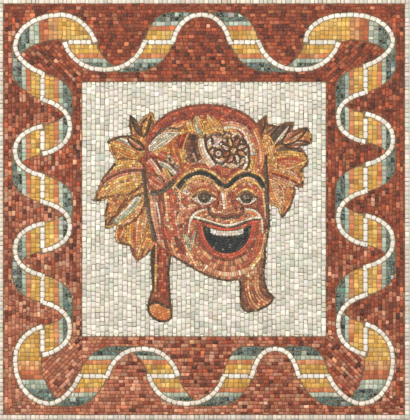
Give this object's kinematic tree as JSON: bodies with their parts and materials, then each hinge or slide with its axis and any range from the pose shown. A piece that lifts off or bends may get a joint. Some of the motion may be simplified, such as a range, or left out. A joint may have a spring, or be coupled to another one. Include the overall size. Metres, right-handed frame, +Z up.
{
  "type": "mosaic panel",
  "caption": "Upright wall panel of marble tesserae in mortar: wavy folded ribbon on a red border round a white field with a leaf-wreathed theatre mask.",
  "frame": {"origin": "centre of the flat back face, where the panel meets the wall", "axes": "+X right along the width, +Y into the wall, +Z up along the height; the face looks towards -Y"},
  "size_m": [0.856, 0.026, 0.876],
  "materials": {
    "mortar": "trowelled grey cement mortar, matt",
    "white_marble": "split marble tesserae, cream white, satin",
    "red_marble": "split marble tesserae, brick red, satin",
    "yellow_marble": "split marble tesserae in rows of yellow, orange, light and dark green, satin",
    "ochre_marble": "small split marble tesserae, ochre and yellow, satin",
    "terracotta_marble": "small split marble tesserae, orange red, satin",
    "brown_marble": "small split marble tesserae, dark red and brown, satin",
    "dark_marble": "small split marble tesserae, dark green grey, satin"
  },
  "bodies": {
    "root": {"mortar_slab": "mortar", "edge_row": "white_marble", "white_field": "white_marble", "ribbon_white_line": "white_marble", "ground_outer": "red_marble", "ground_inner": "red_marble", "strap_left": "brown_marble", "strap_right": "brown_marble", "leaves_left": "ochre_marble", "leaves_right": "ochre_marble", "mask_crown": "red_marble", "mask_fillet": "yellow_marble", "mask_curls": "ochre_marble", "mask_face": "terracotta_marble", "mask_jaw": "terracotta_marble", "mask_brows": "dark_marble", "mask_eye_left": "white_marble", "mask_eye_right": "white_marble", "mask_mouth": "dark_marble", "mask_teeth": "white_marble", "ribbon_left_1_outer": "yellow_marble", "ribbon_left_1_inner": "yellow_marble", "ribbon_left_2_outer": "yellow_marble", "ribbon_left_2_inner": "yellow_marble", "ribbon_left_3_outer": "yellow_marble", "ribbon_left_3_inner": "yellow_marble", "ribbon_left_4_outer": "yellow_marble", "ribbon_left_4_inner": "yellow_marble", "ribbon_left_5_outer": "yellow_marble", "ribbon_left_5_inner": "yellow_marble", "ribbon_left_6_outer": "yellow_marble", "ribbon_left_6_inner": "yellow_marble", "ribbon_bottom_1_outer": "yellow_marble", "ribbon_bottom_1_inner": "yellow_marble", "ribbon_bottom_2_outer": "yellow_marble", "ribbon_bottom_2_inner": "yellow_marble", "ribbon_bottom_3_outer": "yellow_marble", "ribbon_bottom_3_inner": "yellow_marble", "ribbon_bottom_4_outer": "yellow_marble", "ribbon_bottom_4_inner": "yellow_marble", "ribbon_right_1_outer": "yellow_marble", "ribbon_right_1_inner": "yellow_marble", "ribbon_right_2_outer": "yellow_marble", "ribbon_right_2_inner": "yellow_marble", "ribbon_right_3_outer": "yellow_marble", "ribbon_right_3_inner": "yellow_marble", "ribbon_right_4_outer": "yellow_marble", "ribbon_right_4_inner": "yellow_marble", "ribbon_right_5_outer": "yellow_marble", "ribbon_right_5_inner": "yellow_marble", "ribbon_right_6_outer": "yellow_marble", "ribbon_right_6_inner": "yellow_marble", "ribbon_top_1_outer": "yellow_marble", "ribbon_top_1_inner": "yellow_marble", "ribbon_top_2_outer": "yellow_marble", "ribbon_top_2_inner": "yellow_marble", "ribbon_top_3_outer": "yellow_marble", "ribbon_top_3_inner": "yellow_marble", "ribbon_top_4_outer": "yellow_marble", "ribbon_top_4_inner": "yellow_marble"}
  },
  "joints": []
}
